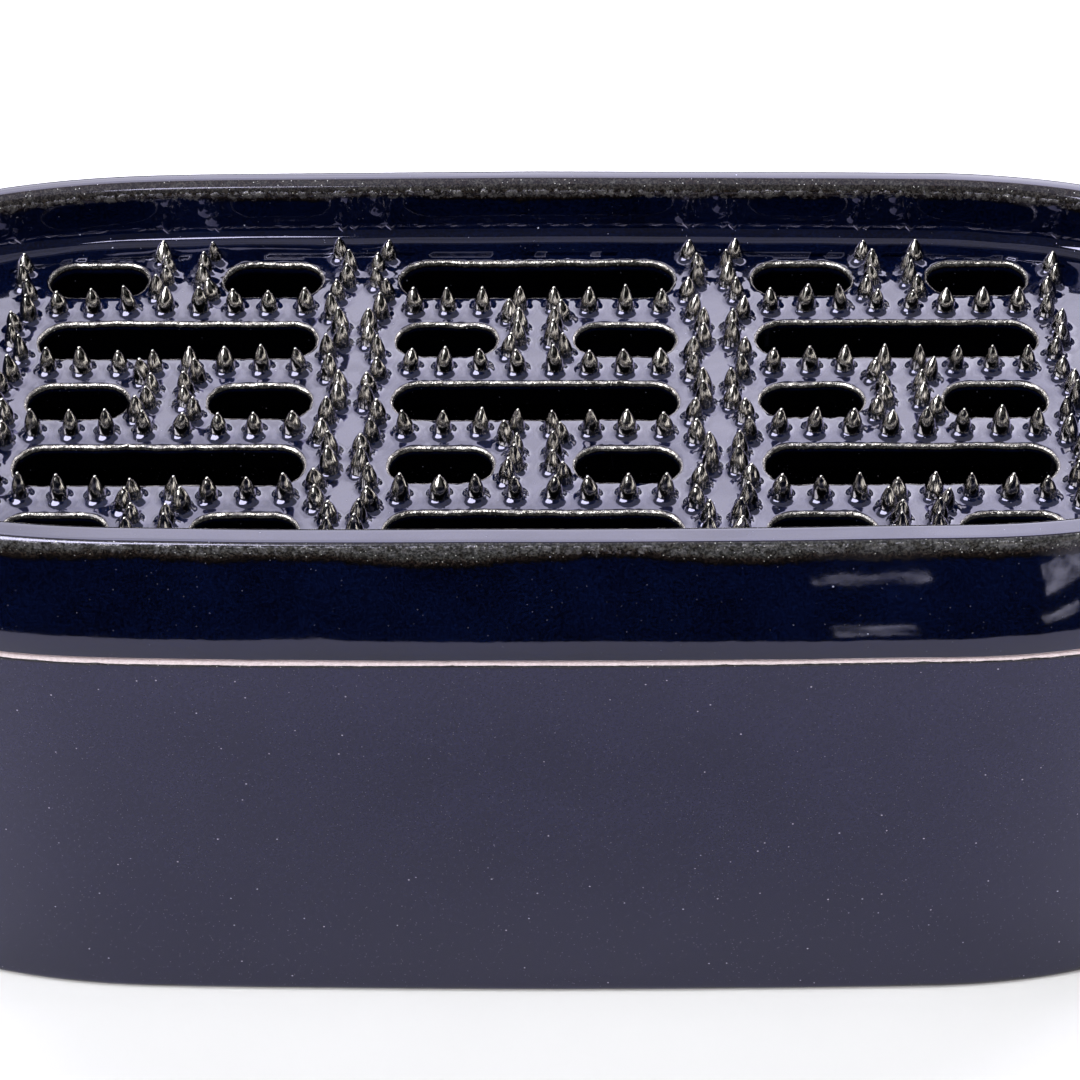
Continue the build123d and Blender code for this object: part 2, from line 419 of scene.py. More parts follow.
def reservoir_profile():
    """Closed section of the wall: outer face, bare ledge, inner face, underside."""
    profile = arc(FOOT_RADIUS, FOOT_RADIUS, FOOT_RADIUS, -90, 0, 6)
    profile += upright(0.0, FOOT_RADIUS, FOOT_ZONE, FOOT_STEP)[1:]
    profile += upright(0.0, FOOT_ZONE, LEDGE_TOP - LEDGE_ZONE, WALL_STEP)[1:]
    profile += upright(0.0, LEDGE_TOP - LEDGE_ZONE, LEDGE_TOP - LEDGE_RADIUS, LEDGE_STEP)[1:]
    profile += arc(LEDGE_RADIUS, LEDGE_TOP - LEDGE_RADIUS, LEDGE_RADIUS, 0, 90, 4)[1:]
    profile += [(inset, LEDGE_TOP) for inset in (0.8 * MM, 1.6 * MM, 3 * MM, 5 * MM)]
    profile += arc(FLOOR_INSET - MOUTH_RADIUS, LEDGE_TOP - MOUTH_RADIUS, MOUTH_RADIUS, 90, 180, 4)
    profile += upright(FLOOR_INSET, LEDGE_TOP - 2 * MM, 0.2 * MM, INNER_STEP)
    profile += [(inset, 0.0) for inset in (5.5 * MM, 3.5 * MM)]
    return profile


def reservoir_shift(x, y, z, inset):
    """Hand pressure on the outer face, which fades at the foot and inside."""
    face = rise(-inset, -3 * MM, -0.5 * MM)
    return CLEARANCE + face * (HAND_RELIEF + handmade(x, y, z, HAND_WAVE, HAND_DEPTH))


def reservoir_thin(x, y, z, inset):
    """The glaze thins out at the foot, more so to the right, and at the edge of the ledge."""
    waver = handmade(x, y, 0, 9 * MM, 0.8 * MM)
    reach = 0.5 * MM + 1.0 * MM * rise(x, 0.02, 0.11)
    foot = 1 - rise(z + waver, 0.2 * MM, 0.9 * MM + reach)
    edge = rise(z + 0.3 * waver, LEDGE_TOP - 0.9 * MM, LEDGE_TOP - 0.3 * MM)
    # Inside the reservoir the value is -1, so the colour there is painted near black as shade
    return max(foot, edge) if inset < 3 * MM else -1.0


def reservoir_bare(x, y, z, inset):
    """The clay is bare on the ledge and underneath."""
    waver = handmade(x, y, 3 * MM, 2.5 * MM, 0.12 * MM)
    ledge = rise(z + waver, LEDGE_TOP - 0.22 * MM, LEDGE_TOP - 0.10 * MM)
    under = 1 - rise(z, 0.05 * MM, 0.4 * MM)
    return max(ledge, under)


def no_sag(x, y, z, inset):
    """The reservoir stands level."""
    return 0.0


def no_lustre(x, y, z, inset):
    """The reservoir has no metallic break."""
    return 0.0


reservoir = band(
    "glazed_reservoir",
    reservoir_profile(),
    reservoir_glaze,
    reservoir_shift,
    no_sag,
    {"thin": reservoir_thin, "bare": reservoir_bare, "lustre": no_lustre},
)
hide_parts("reservoir_wall")
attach(reservoir, "reservoir")

# ---------------------------------------------------------------- tray collar
LIP_RADIUS = 1.0 * MM
SKIRT_RADIUS = 0.45 * MM
SKIRT_OVERHANG = 0.15 * MM
FACE_STEP = 0.25 * MM
LEAN = ((0.0, -4.0), (4.5, 4.0), (9.0, 5.0), (21.0, 6.5), (30.0, 6.5))
FRONT_SAG = 0.7 * MM
CROWN_START = 4.2 * MM
BACK_ROUNDING = 0.17 * MM
BACK_START, BACK_END = 5 * MM, 42 * MM
OUTER_BREAK = 5.4 * MM
INNER_BREAK = 2.6 * MM
INNER_BREAK_STRENGTH = 0.82
LIP_LUSTRE = 0.36


def lean_at(height):
    """Lean of the collar's outer face in degrees, from a height in mm above its lower edge."""
    return float(np.interp(height, [place for place, _ in LEAN], [lean for _, lean in LEAN]))


def collar_face():
    """The outer face from the skirt to the lip: it bulges a little, then leans in."""
    inset = COLLAR_INSET - SKIRT_OVERHANG
    z = COLLAR_BOTTOM + SKIRT_RADIUS
    points = [(inset, z)]
    while z < RIM_TOP - LIP_RADIUS - FACE_STEP:
        z += FACE_STEP
        inset += FACE_STEP * math.tan(math.radians(lean_at((z - COLLAR_BOTTOM) / MM)))
        points.append((inset, z))
    return points[::3] + [points[-1]]


def collar_profile():
    """Closed section of the collar: outer face, flattened lip, inner face, seat."""
    face = collar_face()
    skirt = arc(face[0][0] + SKIRT_RADIUS, face[0][1], SKIRT_RADIUS, -90, -10, 4)
    lip_inset, lip_z = face[-1][0] + LIP_RADIUS, RIM_TOP - LIP_RADIUS
    outer_lip = arc(lip_inset, lip_z, LIP_RADIUS, 12, 84, 8)
    inner_centre = PLATE_INSET - LIP_RADIUS
    shares = (0.15, 0.30, 0.45, 0.60, 0.75, 0.90)
    crown = [(lip_inset + (inner_centre - lip_inset) * share, RIM_TOP) for share in shares]
    inner_lip = arc(inner_centre, lip_z, LIP_RADIUS, 96, 178, 8)
    inner = upright(PLATE_INSET, lip_z - 0.5 * MM, COLLAR_BOTTOM, 1.2 * MM)
    seat = [(inset, COLLAR_BOTTOM) for inset in (5.5 * MM, 3.5 * MM)]
    return skirt + face + outer_lip + crown + inner_lip + inner + seat


def collar_shift(x, y, z, inset):
    """Hand-smoothed waves, long ones with short ones on top."""
    broad = handmade(x, y, 0.6 * z, 48 * MM, 0.30 * MM)
    short = handmade(x, y, z, 17 * MM, 0.07 * MM)
    return CLEARANCE + 0.12 * MM + broad + short


def collar_sag(x, y, z, inset):
    """The lip isn't quite level: it is lower along the front, and rounded off inwards at the back."""
    share = rise(z, COLLAR_BOTTOM + 6 * MM, RIM_TOP)
    waves = 0.10 * MM + handmade(x, y, 0, 45 * MM, 0.18 * MM)
    inward = max(0.0, inset - CROWN_START) / MM
    rounded = BACK_ROUNDING * inward ** 2 * rise(y, BACK_START, BACK_END)
    return share * (waves + FRONT_SAG * rise(-y, 0.0, 45 * MM) + rounded)


def collar_thin(x, y, z, inset):
    """The glaze has run off the lip, more in some places than in others."""
    waver = handmade(x, y, 0, 26 * MM, 1.5 * MM) + handmade(x, y, 0, 6 * MM, 0.6 * MM)
    outside = inset < 4.6 * MM
    start = RIM_TOP - (OUTER_BREAK if outside else INNER_BREAK)
    crown = 0.9 * rise(z, RIM_TOP - 0.10 * MM, RIM_TOP - 0.01 * MM)
    inward = rise(inset, CROWN_START + 0.3 * MM, CROWN_START + 1.0 * MM)
    crown *= 1 - rise(y, BACK_START, BACK_END) * inward
    skirt = 0.4 * (1 - rise(z, COLLAR_BOTTOM + 0.1 * MM, COLLAR_BOTTOM + 0.6 * MM))
    strength = 1.0 if outside else INNER_BREAK_STRENGTH
    return max(strength * rise(z + waver, start, RIM_TOP - 1.0 * MM) - crown, skirt)


def collar_lustre(x, y, z, inset):
    """A little metallic bronze in the broken glaze under the lip."""
    below_lip = LIP_LUSTRE * rise(z, RIM_TOP - 3.5 * MM, RIM_TOP - 1.2 * MM)
    return below_lip * (1 - rise(z, RIM_TOP - 0.5 * MM, RIM_TOP))


def collar_bare(x, y, z, inset):
    """The seat under the collar is bare, and so is a thin line along the skirt."""
    waver = handmade(x, y, 5 * MM, 3 * MM, 0.10 * MM)
    return 1 - rise(z + waver, COLLAR_BOTTOM + 0.20 * MM, COLLAR_BOTTOM + 0.34 * MM)


collar = band(
    "glazed_collar",
    collar_profile(),
    tray_glaze,
    collar_shift,
    collar_sag,
    {"thin": collar_thin, "bare": collar_bare, "lustre": collar_lustre},
)
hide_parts("tray_collar")
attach(collar, "frog_tray")


# ---------------------------------------------------------------- spikes
def spike_places(node):
    """Plan positions of the spikes in a CAD node, read from their tips."""
    vertices = nodes[node].data.vertices
    top = max(vertex.co.z for vertex in vertices)
    tips = []
    for vertex in vertices:
        place = vertex.co.xy
        if vertex.co.z > top - 0.02 * MM and all((place - tip).length > MM for tip in tips):
            tips.append(place.copy())
    return sorted(tips, key=lambda tip: (round(tip.x, 4), round(tip.y, 4)))


def spike_centre(node, tip):
    """The axis of the spike under a tip: the middle of the tip's ring of points."""
    vertices = nodes[node].data.vertices
    near = [v.co.xy for v in vertices if (v.co.xy - tip).length < MM and v.co.z > PLATE_TOP + 4 * MM]
    return Vector((
        0.5 * (min(p.x for p in near) + max(p.x for p in near)),
        0.5 * (min(p.y for p in near) + max(p.y for p in near)),
    ))


spike_nodes = sorted(name for name in nodes if "spikes" in name)
chance = random.Random(SEED)
SPIKE_SIDES = 24
NECK_RADIUS = 1.58 * MM
NECK_HEIGHT = 1.25 * MM
LUMPINESS = 0.018
FULLNESS = 1.5
TAPER = 0.9
BODY_STEPS = 10
TIP_ANGLES = (25, 50, 72)
LEAN_POWER = 1.5
SHARP_SPIKE_EDGE = 70.0
# (radius, height above the plate) in mm, from the buried root up to the neck
FLARE = ((1.70, -0.60), (1.68, 0.30), (1.64, 0.75))
TIP_RADIUS = 0.30 * MM

spike_sets = {}
for spike_node in spike_nodes:
    spike_sets[spike_node] = []
    for tip in spike_places(spike_node):
        centre = spike_centre(spike_node, tip)
        spike_sets[spike_node].append({
            "x": centre.x + chance.uniform(-0.25, 0.25) * MM,
            "y": centre.y + chance.uniform(-0.25, 0.25) * MM,
            "height": SPIKE_HEIGHT * chance.uniform(0.96, 1.20),
            "girth": chance.uniform(0.90, 1.10),
            "lean_x": chance.gauss(0, 0.22) * MM,
            "lean_y": chance.gauss(0, 0.18) * MM,
            "bulge": chance.uniform(-0.15, 0.20),
            "seed": chance.uniform(0, 50),
        })
all_spikes = [spike for spikes in spike_sets.values() for spike in spikes]


def spike_profile(height, bulge):
    """(radius, height) pairs: a slightly flared foot, then bullet-shaped sides up to the tip."""
    profile = [(radius * MM, z * MM) for radius, z in FLARE]
    profile.append((NECK_RADIUS, NECK_HEIGHT))
    shoulder = height - TIP_RADIUS
    for step in range(1, BODY_STEPS + 1):
        share = step / BODY_STEPS
        radius = TIP_RADIUS + (NECK_RADIUS - TIP_RADIUS) * (1 - share ** (FULLNESS + bulge)) ** TAPER
        profile.append((radius, NECK_HEIGHT + (shoulder - NECK_HEIGHT) * share))
    for degrees in TIP_ANGLES:
        angle = math.radians(degrees)
        profile.append((TIP_RADIUS * math.cos(angle), shoulder + TIP_RADIUS * math.sin(angle)))
    return profile


def add_spike(spike, points, faces, thin):
    """One spike: a leaning, slightly lumpy cone with a blunt tip."""
    start = len(points)
    profile = spike_profile(spike["height"], spike["bulge"])
    for radius, height in profile:
        share = max(0.0, height / spike["height"])
        for side in range(SPIKE_SIDES):
            angle = 2 * math.pi * side / SPIKE_SIDES
            cosine, sine = math.cos(angle), math.sin(angle)
            lump = noise.noise(Vector((cosine, sine, height / MM * 0.4 + spike["seed"])))
            reach = radius * spike["girth"] * (1 + LUMPINESS * lump)
            x = spike["x"] + reach * cosine + spike["lean_x"] * share ** LEAN_POWER
            y = spike["y"] + reach * sine + spike["lean_y"] * share ** LEAN_POWER
            points.append((x, y, PLATE_TOP + height))
            thin.append(1.0)
    for row in range(len(profile) - 1):
        for side in range(SPIKE_SIDES):
            after = (side + 1) % SPIKE_SIDES
            low, high = start + row * SPIKE_SIDES, start + (row + 1) * SPIKE_SIDES
            faces.append((low + side, low + after, high + after, high + side))
    for row, z in ((0, FLARE[0][1] * MM), (len(profile) - 1, spike["height"])):
        share = max(0.0, z / spike["height"])
        x = spike["x"] + spike["lean_x"] * share
        y = spike["y"] + spike["lean_y"] * share
        points.append((x, y, PLATE_TOP + z))
        thin.append(1.0)
        ring, hub = start + row * SPIKE_SIDES, len(points) - 1
        for side in range(SPIKE_SIDES):
            after = (side + 1) % SPIKE_SIDES
            corner = (ring + side, ring + after, hub)
            faces.append(corner if row else corner[::-1])


for spike_node, spikes in spike_sets.items():
    points, faces, thin = [], [], []
    for spike in spikes:
        add_spike(spike, points, faces, thin)
    values = {"thin": thin, "bare": [0.0] * len(points), "lustre": thin}
    piece_name = spike_node.replace("spikes", "glazed_spikes")
    piece = make_object(piece_name, points, faces, spike_glaze, values, SHARP_SPIKE_EDGE)
    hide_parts(spike_node)
    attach(piece, "frog_tray")


# ---------------------------------------------------------------- pierced plate
EDGE_RADIUS = 0.70 * MM
EDGE_LEVELS = 6
SLOT_SPACING = 0.42 * MM
GRID_SPACING = 0.72 * MM
COVE_WIDTH = 5.4 * MM
COVE_HEIGHT = 4.6 * MM
COVE_STEPS = 9
# Each kind of relief on the plate is read at its own level of the noise
RIPPLE_LAYER, BEAD_LAYER, WAVE_LAYER, NICK_LAYER = 0.1, 0.2, 0.3, 0.4
BACK_SLOPE = 0.9 * MM
SLOT_FALL = 0.22 * MM
SLOT_FALL_REACH = 1.3 * MM
BEAD_SIZE = 1.0 * MM
BEAD_HEIGHT = 0.20 * MM
SLOT_WAVE = 6 * MM
SLOT_WAVE_DEPTH = 0.30 * MM
SLOT_GAIN = 0.08 * MM
RIM_SHINE = 0.55
# The glaze fillet round a spike: its outer and inner radius in mm, and its steepness per mm
FILLET_REACH = 2.8
FILLET_START = 1.45
FILLET_DEPTH = 0.42
# Radii in mm of the rings of points round each spike
FOOT_RINGS = (1.35, 1.52, 1.70, 1.88, 2.08, 2.30, 2.55, 2.82)


def slot_boxes():
    """(centre x, centre y, length, width) of each slot, from the corner edges under the CAD plate."""
    work = bmesh.new()
    work.from_mesh(nodes["pierced_plate"].data)
    bmesh.ops.remove_doubles(work, verts=work.verts, dist=0.001 * MM)
    low = min(vertex.co.z for vertex in work.verts) + 0.01 * MM
    neighbours = {}
    for edge in work.edges:
        first, second = edge.verts
        if first.co.z < low and second.co.z < low and edge.calc_face_angle(0.0) > 1.0:
            neighbours.setdefault(first.index, []).append(second.index)
            neighbours.setdefault(second.index, []).append(first.index)
    work.verts.ensure_lookup_table()
    boxes, seen = [], set()
    for start in sorted(neighbours):
        if start in seen:
            continue
        group, waiting = [], [start]
        while waiting:
            index = waiting.pop()
            if index not in seen:
                seen.add(index)
                group.append(work.verts[index].co.xy)
                waiting += neighbours[index]
        low_x, high_x = min(p.x for p in group), max(p.x for p in group)
        low_y, high_y = min(p.y for p in group), max(p.y for p in group)
        boxes.append(((low_x + high_x) / 2, (low_y + high_y) / 2, high_x - low_x, high_y - low_y))
    work.free()
    boxes.sort(key=lambda box: box[2])
    return boxes[:-1]


slots = slot_boxes()


def round_end(middle, centre_y, radius, angle):
    """A point and its outward normal on the round end of a slot."""
    cosine, sine = math.cos(angle), math.sin(angle)
    return middle + radius * cosine, centre_y + radius * sine, cosine, sine


def slot_ring(slot):
    """Evenly spaced points and outward normals round a slot, counterclockwise."""
    centre_x, centre_y, length, width = slot
    radius = width / 2
    straight = length - width
    total = 2 * straight + 2 * math.pi * radius
    count = round(total / SLOT_SPACING)
    ring = []
    for index in range(count):
        along = total * index / count
        if along < straight:
            ring.append((centre_x - straight / 2 + along, centre_y - radius, 0.0, -1.0))
            continue
        along -= straight
        if along < math.pi * radius:
            angle = along / radius - math.pi / 2
            ring.append(round_end(centre_x + straight / 2, centre_y, radius, angle))
            continue
        along -= math.pi * radius
        if along < straight:
            ring.append((centre_x + straight / 2 - along, centre_y + radius, 0.0, 1.0))
            continue
        angle = (along - straight) / radius + math.pi / 2
        ring.append(round_end(centre_x - straight / 2, centre_y, radius, angle))
    return ring


def slot_distance(x, y):
    """Distance from a place on the plate to the nearest slot's edge, below 0 inside a slot."""
    nearest = 1.0
    for centre_x, centre_y, length, width in slots:
        along = max(0.0, abs(x - centre_x) - (length - width) / 2)
        nearest = min(nearest, math.hypot(along, y - centre_y) - width / 2)
    return nearest


spike_tree = KDTree(len(all_spikes))
for index, spike in enumerate(all_spikes):
    spike_tree.insert((spike["x"], spike["y"], 0.0), index)
spike_tree.balance()

outline_tree = KDTree(len(outline))
for index, (x, y) in enumerate(outline):
    outline_tree.insert((x, y, 0.0), index)
outline_tree.balance()


def glaze_level(x, y):
    """Height of the glaze on the plate: waves, a climb to the back, a fall to the slots and a
    fillet at each spike's foot."""
    level = handmade(x, y, 0, 15 * MM, 0.16 * MM) + handmade(x, y, RIPPLE_LAYER, 4 * MM, 0.025 * MM)
    level += BACK_SLOPE * rise(y, 20 * MM, 50 * MM)
    level -= SLOT_FALL * math.exp(-max(0.0, slot_distance(x, y)) / SLOT_FALL_REACH)
    climb = 0.0
    for _, _, gap in spike_tree.find_range((x, y, 0.0), 6 * MM):
        room = max(0.0, FILLET_REACH - max(FILLET_START, gap / MM))
        climb += (FILLET_DEPTH * room ** 2 + 0.03 * math.exp(-gap / MM)) ** 2
    return PLATE_TOP + level + MM * math.sqrt(climb)


class Skin:
    """Points, faces and glaze values of the plate, gathered part by part."""

    def __init__(self):
        self.points, self.faces = [], []
        self.values = {"thin": [], "bare": [], "lustre": []}

    def add(self, x, y, z, thin, bare=0.0, lustre=0.0):
        self.points.append((x, y, z))
        for key, value in (("thin", thin), ("bare", bare), ("lustre", lustre)):
            self.values[key].append(value)
        return len(self.points) - 1

    def join(self, first, second, flip=False):
        """Quads between two closed rings with the same number of points."""
        for index in range(len(first)):
            after = (index + 1) % len(first)
            quad = (first[index], first[after], second[after], second[index])
            self.faces.append(quad[::-1] if flip else quad)

    def fill(self, outer, holes, inside, flip=False):
        """Triangles between an outer ring, the rings of its holes and loose points inside."""
        order = list(outer) + [index for ring in holes for index in ring] + list(inside)
        where = [Vector(self.points[index][:2]) for index in order]
        edges, home, start = [], [-1] * len(order), 0
        for number, ring in enumerate([outer, *holes]):
            for step in range(len(ring)):
                edges.append((start + step, start + (step + 1) % len(ring)))
                home[start + step] = number
            start += len(ring)
        found = delaunay_2d_cdt(where, edges, [], 0, 1e-9)
        for triangle in found[2]:
            corners = [found[3][corner][0] for corner in triangle]
            homes = {home[corner] for corner in corners}
            if len(homes) == 1 and homes.pop() > 0:
                continue
            face = tuple(order[corner] for corner in corners)
            self.faces.append(face[::-1] if flip else face)


def slot_edge(skin, slot):
    """Rounded edge and wall of one slot; returns its top ring and its bottom ring."""
    rings = []
    around = slot_ring(slot)
    for level in range(EDGE_LEVELS + 1):
        angle = math.pi / 2 * level / EDGE_LEVELS
        back, drop = EDGE_RADIUS * (1 - math.cos(angle)), EDGE_RADIUS * (1 - math.sin(angle))
        fade = math.cos(angle) if level < EDGE_LEVELS else 0.0
        ring = []
        for x, y, out_x, out_y in around:
            bead = handmade(x, y, BEAD_LAYER, BEAD_SIZE, BEAD_HEIGHT)
            wave = handmade(x, y, WAVE_LAYER, SLOT_WAVE, SLOT_WAVE_DEPTH)
            cut = wave + handmade(x, y, NICK_LAYER, 1.6 * MM, 0.16 * MM)
            reach = back + fade * (cut - SLOT_GAIN)
            px, py = x + out_x * reach, y + out_y * reach
            lift = bead * math.sin(2 * angle) if level < EDGE_LEVELS else 0.0
            z = glaze_level(x + out_x * EDGE_RADIUS, y + out_y * EDGE_RADIUS) - drop + lift
            shine = RIM_SHINE * rise(level, 0.6, 1.6) * (1 - rise(level, 4.2, 5.4))
            ring.append(skin.add(px, py, z, 1.0 - 0.8 * rise(level, 3.5, EDGE_LEVELS), 0.0, shine))
        rings.append(ring)
    walls = []
    # The slot walls get thin -1, so their colour is painted near black as shade
    for z, bare in ((PLATE_BOTTOM, 0.3), (PLATE_BOTTOM + 0.4 * MM, 0.0), (PLATE_TOP - 1.7 * MM, 0.0)):
        ring = []
        for x, y, out_x, out_y in around:
            cut = handmade(x, y, WAVE_LAYER, SLOT_WAVE, SLOT_WAVE_DEPTH) - SLOT_GAIN
            ring.append(skin.add(x + out_x * cut, y + out_y * cut, z, -1.0, bare))
        walls.append(ring)
    column = walls + rings
    for low, high in zip(column[:-1], column[1:]):
        skin.join(low, high, flip=True)
    return rings[-1], walls[0]


edge_inset = PLATE_INSET - 0.1 * MM
cove_widths = []
for (x, y), (out_x, out_y) in zip(outline, outline_out):
    room = slot_distance(x - out_x * edge_inset, y - out_y * edge_inset) - EDGE_RADIUS - 0.6 * MM
    cove_widths.append(min(COVE_WIDTH, max(0.7 * COVE_HEIGHT, room)))


def outline_ring(skin, inset, z, thin, bare=0.0, follow=0.0, reach=0.0):
    """A ring round the plate's edge, which moves with the collar's hand-made waves. Reach is the
    share of the cove's width that it lies further in."""
    ring = []
    for (x, y), (out_x, out_y), width in zip(outline, outline_out, cove_widths):
        back = inset + reach * width
        px, py = x - out_x * back, y - out_y * back
        moved = collar_shift(px, py, z, back)
        px, py = px - out_x * moved, py - out_y * moved
        level = glaze_level(px, py) - PLATE_TOP if follow else 0.0
        ring.append(skin.add(px, py, z + follow * level, thin, bare))
    return ring


def cove_rings(skin):
    """The plate's edge from its underside up, then down the cove to the deck, as joined rings."""
    cove = [outline_ring(skin, edge_inset + 0.3 * MM, PLATE_BOTTOM, 0.3, 1.0)]
    cove.append(outline_ring(skin, edge_inset, PLATE_BOTTOM + 0.3 * MM, 0.3))
    for step in range(COVE_STEPS + 1):
        angle = math.radians(90.0 * step / COVE_STEPS)
        z = PLATE_TOP + COVE_HEIGHT * (1 - math.sin(angle))
        reach = 1 - math.cos(angle)
        cove.append(outline_ring(skin, edge_inset, z, 0.0, 0.0, rise(step, 3, COVE_STEPS), reach))
    for low, high in zip(cove[:-1], cove[1:]):
        skin.join(low, high)
    return cove


def deck_places(skin, inner):
    """Places for points on the deck: an even grid, and rings round the foot of each spike."""
    low_x, low_y = np.min([skin.points[index][:2] for index in inner], axis=0)
    high_x, high_y = np.max([skin.points[index][:2] for index in inner], axis=0)
    places = []
    for row in range(int((high_y - low_y) / (GRID_SPACING * 0.866)) + 1):
        y = low_y + row * GRID_SPACING * 0.866
        for column in range(int((high_x - low_x) / GRID_SPACING) + 1):
            x = low_x + (column + 0.5 * (row % 2)) * GRID_SPACING
            if spike_tree.find((x, y, 0.0))[2] > (FOOT_RINGS[-1] + 0.35) * MM:
                places.append((x, y))
    for index, spike in enumerate(all_spikes):
        places.append((spike["x"], spike["y"]))
        for number, reach in enumerate(FOOT_RINGS):
            for side in range(SPIKE_SIDES):
                angle = 2 * math.pi * (side + 0.5 * (number % 2)) / SPIKE_SIDES
                x = spike["x"] + reach * MM * math.cos(angle)
                y = spike["y"] + reach * MM * math.sin(angle)
                if spike_tree.find((x, y, 0.0))[1] == index:
                    places.append((x, y))
    return places


def plate_skin():
    """The whole plate: top with cove and slot edges, walls, and flat underside."""
    skin = Skin()
    top_holes, bottom_holes = [], []
    for slot in slots:
        top, bottom = slot_edge(skin, slot)
        top_holes.append(top)
        bottom_holes.append(bottom)
    cove = cove_rings(skin)
    inner = cove[-1]
    margin = 0.5 * GRID_SPACING
    inside = []
    for x, y in deck_places(skin, inner):
        _, near, gap = outline_tree.find((x, y, 0.0))
        edge = slot_distance(x, y)
        on_deck = gap > edge_inset + cove_widths[near] + 0.25 * MM + margin
        if on_deck and edge > EDGE_RADIUS + 0.8 * margin:
            inside.append(skin.add(x, y, glaze_level(x, y), 0.0))
    skin.fill(inner, top_holes, inside)
    skin.fill(cove[0], bottom_holes, [], flip=True)
    return skin


skin = plate_skin()
SHARP_PLATE_EDGE = 60.0
plate = make_object(
    "glazed_plate", skin.points, skin.faces, tray_glaze, skin.values, SHARP_PLATE_EDGE
)
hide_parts("pierced_plate")
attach(plate, "frog_tray")

# ---------------------------------------------------------------- CAD nodes that keep their shape
# These inner parts get a near black colour as painted shade
for kept in ("locating_flange", "reservoir_floor"):
    nodes[kept].data.materials.clear()
    nodes[kept].data.materials.append(inner_painted_shade_glaze)


# ---------------------------------------------------------------- stage, light and camera
def panel(name, corners, material):
    """A flat stage piece with any number of corners."""
    mesh = bpy.data.meshes.new(name)
    mesh.from_pydata([tuple(corner) for corner in corners], [], [tuple(range(len(corners)))])
    mesh.materials.append(material)
    made = bpy.data.objects.new(name, mesh)
    bpy.context.scene.collection.objects.link(made)
    return made


def glowing(name, radiance, colour=(1.0, 1.0, 1.0), drift=0.0, cloudy=0.0, patch=0.11):
    """A light-giving surface, even unless it has a drift, its gain in light per metre to the
    right, or is cloudy, the depth of its patches."""
    material = bpy.data.materials.new(name)
    material.use_nodes = True
    tree = material.node_tree
    tree.nodes.clear()
    strength = radiance
    if drift or cloudy:
        place = put(tree, "ShaderNodeTexCoord").outputs["Object"]
        across = put(tree, "ShaderNodeSeparateXYZ", {"Vector": place}).outputs["X"]
        slope = mathematics(tree, "MULTIPLY", across, drift * radiance)
        patches = spread(tree, clouds(tree, place, patch, 3.0), 0.35, 0.65, 1 - cloudy, 1 + cloudy)
        strength = mathematics(tree, "ADD", mathematics(tree, "MULTIPLY", patches, radiance), slope)
    emission = put(tree, "ShaderNodeEmission", {"Color": (*colour, 1.0), "Strength": strength})
    put(tree, "ShaderNodeOutputMaterial", {"Surface": emission.outputs[0]})
    return material


def softbox(name, azimuth, elevation, distance, size, radiance, diffuse=True, glossy=True, **looks):
    """A soft light facing the object, which the camera doesn't see. Azimuth 0 is behind and 90 is
    right, in degrees; distance and size are in metres."""
    turn, lift = math.radians(azimuth), math.radians(elevation)
    away = Vector((math.sin(turn) * math.cos(lift), math.cos(turn) * math.cos(lift), math.sin(lift)))
    side = Vector((math.cos(turn), -math.sin(turn), 0.0))
    up = side.cross(away)
    centre = Vector((0, 0, PLATE_TOP)) + away * distance
    half_width, half_height = side * size[0] / 2, up * size[1] / 2
    low, high = centre - half_height, centre + half_height
    corners = [low - half_width, low + half_width, high + half_width, high - half_width]
    box = panel(name, corners, glowing(name, radiance, **looks))
    box.visible_camera = False
    box.visible_diffuse = diffuse
    box.visible_glossy = glossy
    box.visible_shadow = False


FLOOR_REACH = 3.0
FLOOR_DARK = (0.80, 0.80, 0.81)
FLOOR_PALE = (0.82, 0.82, 0.83)
floor_material, floor_tree, floor_shader, floor_place = new_material(
    "pale_floor", IOR=1.4, Roughness=0.6, Specular_IOR_Level=0.1
)
floor_tone = spread(floor_tree, clouds(floor_tree, floor_place, 0.05), 0.3, 0.7, 0.0, 1.0)
floor_colour = mixed(floor_tree, floor_tone, FLOOR_DARK, FLOOR_PALE)
floor_tree.links.new(floor_colour, floor_shader.inputs["Base Color"])
floor_turns = ((-1, -1), (1, -1), (1, 1), (-1, 1))
panel("floor", [(x * FLOOR_REACH, y * FLOOR_REACH, 0) for x, y in floor_turns], floor_material)

# The light from behind falls on the object as one tone, and is mirrored in the glaze as another
softbox("back_light", 0, 43, 1.1, (2.6, 0.75), 5.6, glossy=False, colour=(1.0, 0.96, 1.15))
back_looks = {"colour": (1.0, 0.985, 1.02), "drift": 0.5, "cloudy": 0.14}
softbox("back_glow", 0, 43, 1.1, (2.6, 0.75), 6.9, diffuse=False, **back_looks)
softbox("top_fill", 190, 65, 1.3, (1.8, 1.5), 3.7, glossy=False)
softbox("zenith_glow", 0, 86, 1.2, (2.6, 1.1), 1.0, diffuse=False, cloudy=0.25)
softbox("front_glow", 180, 42, 1.2, (2.4, 1.1), 0.16, diffuse=False, cloudy=0.25)
softbox("left_strip", -138, 14, 1.0, (0.50, 0.95), 1.3, diffuse=False)
softbox("left_light", -126, 43, 0.9, (0.78, 0.74), 24.0, diffuse=False)
softbox("right_light", 80, 28, 0.9, (0.16, 0.30), 3.0, diffuse=False)


def floor_card(name, corners, material):
    """A card on the floor, out of the picture, that only mirror reflections see."""
    card = panel(name, corners, material)
    card.visible_camera = False
    card.visible_diffuse = False
    card.visible_shadow = False


CARD_REACH = 1.6
CARD_LEVEL = 0.002
WINDOW_LEVEL = 0.003
WINDOW_PATCH = 0.009
# Right half of the black card's edge towards the object, from the middle of the front round
CARD_EDGE = [
    (0.0, -0.1695), (0.110, -0.166), (0.140, -0.157), (0.168, -0.143),
    (0.202, -0.108), (0.221, -0.061), (0.220, -0.004), (CARD_REACH, 0.0),
]


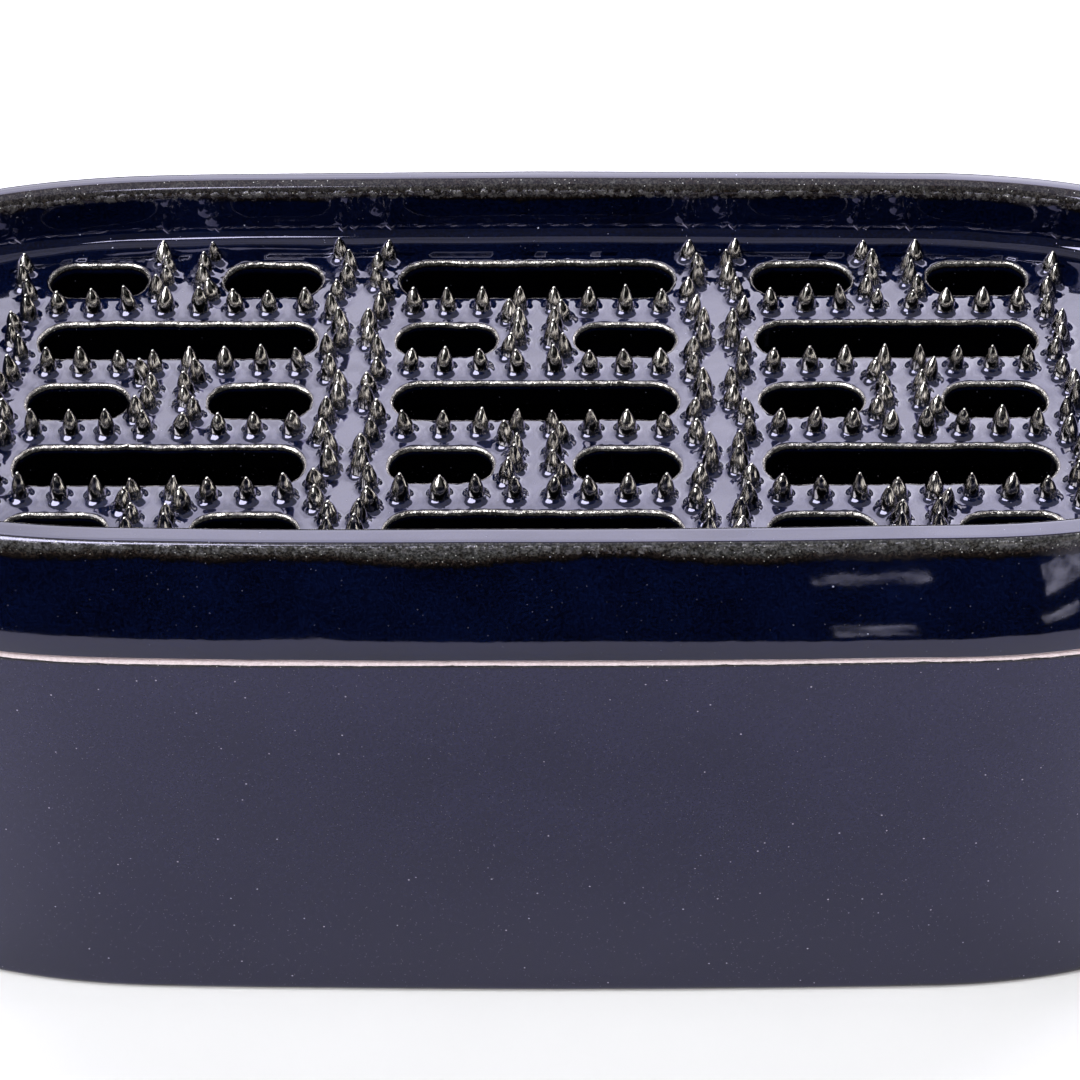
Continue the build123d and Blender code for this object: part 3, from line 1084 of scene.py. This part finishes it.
def dark_card():
    """A black card that bends round the front of the object at an even distance."""
    material = bpy.data.materials.new("black_card")
    material.use_nodes = True
    shader = material.node_tree.nodes["Principled BSDF"]
    shader.inputs["Base Color"].default_value = (0.004, 0.004, 0.004, 1.0)
    shader.inputs["Roughness"].default_value = 1.0
    shader.inputs["Specular IOR Level"].default_value = 0.0
    corners = [(-CARD_REACH, -CARD_REACH), (CARD_REACH, -CARD_REACH)]
    corners += CARD_EDGE[::-1] + [(-x, y) for x, y in CARD_EDGE[1:]]
    floor_card("black_card", [(x, y, CARD_LEVEL) for x, y in corners], material)


def window_card(name, low, high, radiance):
    """A bright patch on the black card, which the collar mirrors like a window."""
    (low_x, low_y), (high_x, high_y), z = low, high, WINDOW_LEVEL
    corners = [(low_x, low_y, z), (high_x, low_y, z), (high_x, high_y, z), (low_x, high_y, z)]
    floor_card(name, corners, glowing(name, radiance, cloudy=1.0, patch=WINDOW_PATCH))


window_card("window_far", (0.066, -0.227), (0.088, -0.220), 1.7)
window_card("window_near", (0.067, -0.182), (0.081, -0.173), 1.5)
window_card("side_window_far", (0.142, -0.213), (0.172, -0.192), 1.8)
window_card("side_window_near", (0.134, -0.177), (0.156, -0.168), 1.8)
dark_card()

world = bpy.data.worlds.new("studio")
world.use_nodes = True
world.node_tree.nodes["Background"].inputs["Color"].default_value = (1.0, 1.0, 1.0, 1.0)
world.node_tree.nodes["Background"].inputs["Strength"].default_value = 1.0
bpy.context.scene.world = world
world.cycles_visibility.diffuse = False
world.cycles_visibility.glossy = False
world.cycles_visibility.transmission = False

# The photo's viewpoint: elevation, yaw and roll in radians, distance in metres, lens in mm
CAMERA_TARGET = Vector((0.47 * MM, 0.0, 62.05 * MM))
CAMERA_DISTANCE = 0.560
CAMERA_ELEVATION = math.radians(42.0)
CAMERA_YAW = 0.0193
CAMERA_ROLL = -0.0146
CAMERA_LENS = 103.7

back = Vector((
    math.sin(CAMERA_YAW) * math.cos(CAMERA_ELEVATION),
    -math.cos(CAMERA_YAW) * math.cos(CAMERA_ELEVATION),
    math.sin(CAMERA_ELEVATION),
))
level_right = Vector((math.cos(CAMERA_YAW), math.sin(CAMERA_YAW), 0.0))
level_up = back.cross(level_right)
right = level_right * math.cos(CAMERA_ROLL) + level_up * math.sin(CAMERA_ROLL)
up = level_up * math.cos(CAMERA_ROLL) - level_right * math.sin(CAMERA_ROLL)
camera_data = bpy.data.cameras.new("camera")
camera_data.lens = CAMERA_LENS
camera_data.sensor_width = 36.0
camera_data.clip_start = 0.01
camera = bpy.data.objects.new("camera", camera_data)
turned = Matrix((right, up, back)).transposed().to_4x4()
camera.matrix_world = Matrix.Translation(CAMERA_TARGET + back * CAMERA_DISTANCE) @ turned
bpy.context.scene.collection.objects.link(camera)
bpy.context.scene.camera = camera
bpy.context.scene.view_settings.view_transform = "Standard"
